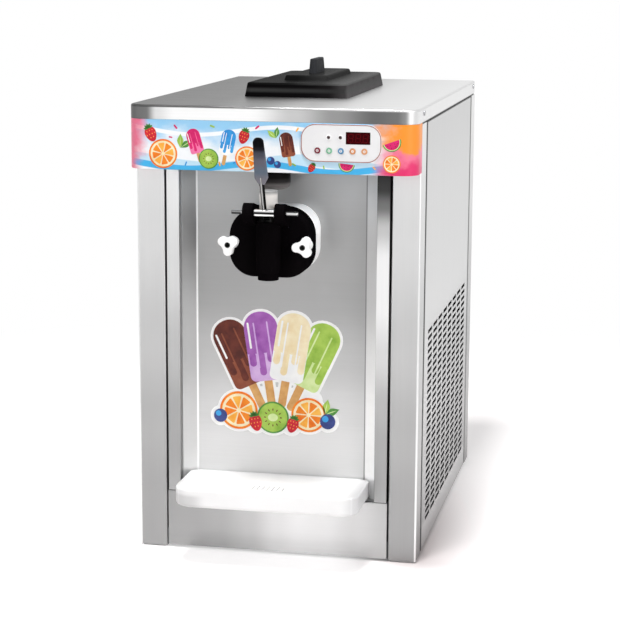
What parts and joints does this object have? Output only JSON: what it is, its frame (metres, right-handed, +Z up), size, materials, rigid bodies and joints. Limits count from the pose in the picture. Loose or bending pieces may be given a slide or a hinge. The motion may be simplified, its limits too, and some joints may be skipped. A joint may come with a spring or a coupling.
{
  "type": "soft serve machine",
  "caption": "Counter-top soft serve freezer: steel cabinet, hopper with lid, control fascia, freezer door with draw lever and hand nuts, drip tray.",
  "frame": {"origin": "on the floor under the middle of the machine's bounding box", "axes": "+X to the right of someone facing the machine, +Y towards its rear, +Z up"},
  "size_m": [0.4536, 0.8094, 0.7718],
  "materials": {
    "stainless": "brushed",
    "bright_steel": "polished",
    "zinc_sheet": "zinc coated",
    "foot_rubber": "matte",
    "seal_rubber": "matte",
    "belt_rubber": "matte",
    "print_white": "printed film",
    "panel_silver": "satin",
    "display_dark": "gloss",
    "board_green": "matte",
    "key_red": "satin",
    "key_green": "satin",
    "key_blue": "satin",
    "key_orange": "satin",
    "white_plastic": "satin",
    "black_plastic": "gloss",
    "dark_plastic": "satin",
    "hood_plastic": "gloss",
    "copper": "drawn",
    "foam": "foamed",
    "gear_steel": "machined",
    "cast_housing": "painted",
    "pulley_alloy": "turned",
    "fin_alloy": "bare",
    "compressor_black": "satin"
  },
  "bodies": {
    "cabinet": {"corner_posts": "stainless", "feet": "foot_rubber", "base_pan": "zinc_sheet", "right_side_panel": "stainless", "left_side_panel": "stainless", "rear_panel": "stainless", "kick_panel": "stainless", "recess_trims": "stainless", "splash_panel": "stainless", "top_cover": "stainless", "inner_frame": "zinc_sheet", "cover_screws": "bright_steel", "fascia": "print_white", "control_panel": "panel_silver", "display_module": "display_dark", "control_board": "board_green", "tray_bracket": "stainless", "freezing_cylinder": "bright_steel", "evaporator_coil": "copper", "insulation_block": "foam", "cylinder_front_block": "white_plastic", "freezer_door": "black_plastic", "valve_barrel": "black_plastic", "door_gasket": "seal_rubber", "door_studs": "bright_steel", "pivot_pin": "bright_steel", "switch_hood": "hood_plastic", "hopper": "bright_steel", "air_tube": "white_plastic", "gearbox": "cast_housing", "drive_belt": "belt_rubber", "drive_motor": "cast_housing", "compressor": "compressor_black", "condenser": "fin_alloy", "fan_shroud": "dark_plastic", "fan_motor": "cast_housing", "refrigerant_pipes": "copper", "electrical_box": "zinc_sheet", "cord_gland": "dark_plastic"},
    "lever": {"draw_lever": "bright_steel", "lever_grip": "black_plastic"},
    "valve": {"draw_valve": "white_plastic"},
    "lid": {"hopper_lid": "black_plastic", "lid_handle": "dark_plastic"},
    "tray": {"drip_tray": "white_plastic"},
    "grid": {"drip_grid": "white_plastic"},
    "left_nut": {"left_hand_nut": "white_plastic"},
    "right_nut": {"right_hand_nut": "white_plastic"},
    "beater": {"beater": "bright_steel", "scraper_blades": "white_plastic", "output_gear": "gear_steel"},
    "pulley": {"pinion_shaft": "gear_steel", "driven_pulley": "pulley_alloy"},
    "motor_rotor": {"motor_pulley": "pulley_alloy"},
    "fan": {"fan_blade": "dark_plastic"},
    "power_key": {"power_button": "key_red"},
    "wash_key": {"wash_button": "key_green"},
    "chill_key": {"chill_button": "key_blue"},
    "minus_key": {"minus_button": "key_orange"},
    "plus_key": {"plus_button": "key_orange"}
  },
  "joints": [
    {"name": "lever_pull", "type": "hinge", "parent": "cabinet", "child": "lever", "pos_m": [0, -0.35726, 0.561], "axis": [1, 0, 0], "range_deg": [0, 58]},
    {"name": "valve_lift", "type": "slide", "parent": "cabinet", "child": "valve", "axis": [0, 0, 1], "range_m": [0, 0.0194]},
    {"name": "lid_lift", "type": "slide", "parent": "cabinet", "child": "lid", "axis": [0, 0, 1], "range_m": [0, 0.25]},
    {"name": "tray_pull", "type": "slide", "parent": "cabinet", "child": "tray", "axis": [0, -1, 0], "range_m": [0, 0.13]},
    {"name": "grid_lift", "type": "slide", "parent": "tray", "child": "grid", "axis": [0, 0, 1], "range_m": [0, 0.06]},
    {"name": "left_nut_turn", "type": "hinge", "parent": "cabinet", "child": "left_nut", "pos_m": [-0.058, -0.32326, 0.51], "axis": [0, -1, 0], "continuous": true},
    {"name": "right_nut_turn", "type": "hinge", "parent": "cabinet", "child": "right_nut", "pos_m": [0.058, -0.32326, 0.51], "axis": [0, -1, 0], "continuous": true},
    {"name": "beater_spin", "type": "hinge", "parent": "cabinet", "child": "beater", "pos_m": [0, -0.27326, 0.51], "axis": [0, 1, 0], "continuous": true},
    {"name": "pulley_spin", "type": "hinge", "parent": "cabinet", "child": "pulley", "pos_m": [0, 0.13674, 0.4425], "axis": [0, 1, 0], "continuous": true},
    {"name": "motor_spin", "type": "hinge", "parent": "cabinet", "child": "motor_rotor", "pos_m": [0, 0.13674, 0.076], "axis": [0, 1, 0], "continuous": true},
    {"name": "fan_spin", "type": "hinge", "parent": "cabinet", "child": "fan", "pos_m": [0.15, 0.10674, 0.141], "axis": [1, 0, 0], "continuous": true},
    {"name": "power_key_press", "type": "slide", "parent": "cabinet", "child": "power_key", "axis": [0, 1, 0], "range_m": [0, 0.0006], "stiffness_N_per_m": 600},
    {"name": "wash_key_press", "type": "slide", "parent": "cabinet", "child": "wash_key", "axis": [0, 1, 0], "range_m": [0, 0.0006], "stiffness_N_per_m": 600},
    {"name": "chill_key_press", "type": "slide", "parent": "cabinet", "child": "chill_key", "axis": [0, 1, 0], "range_m": [0, 0.0006], "stiffness_N_per_m": 600},
    {"name": "minus_key_press", "type": "slide", "parent": "cabinet", "child": "minus_key", "axis": [0, 1, 0], "range_m": [0, 0.0006], "stiffness_N_per_m": 600},
    {"name": "plus_key_press", "type": "slide", "parent": "cabinet", "child": "plus_key", "axis": [0, 1, 0], "range_m": [0, 0.0006], "stiffness_N_per_m": 600}
  ],
  "couplings": [
    {"joint": "valve_lift", "follows": "lever_pull", "m_per_rad": 0.019157},
    {"joint": "pulley_spin", "follows": "beater_spin", "ratio": -5},
    {"joint": "motor_spin", "follows": "beater_spin", "ratio": -15}
  ]
}
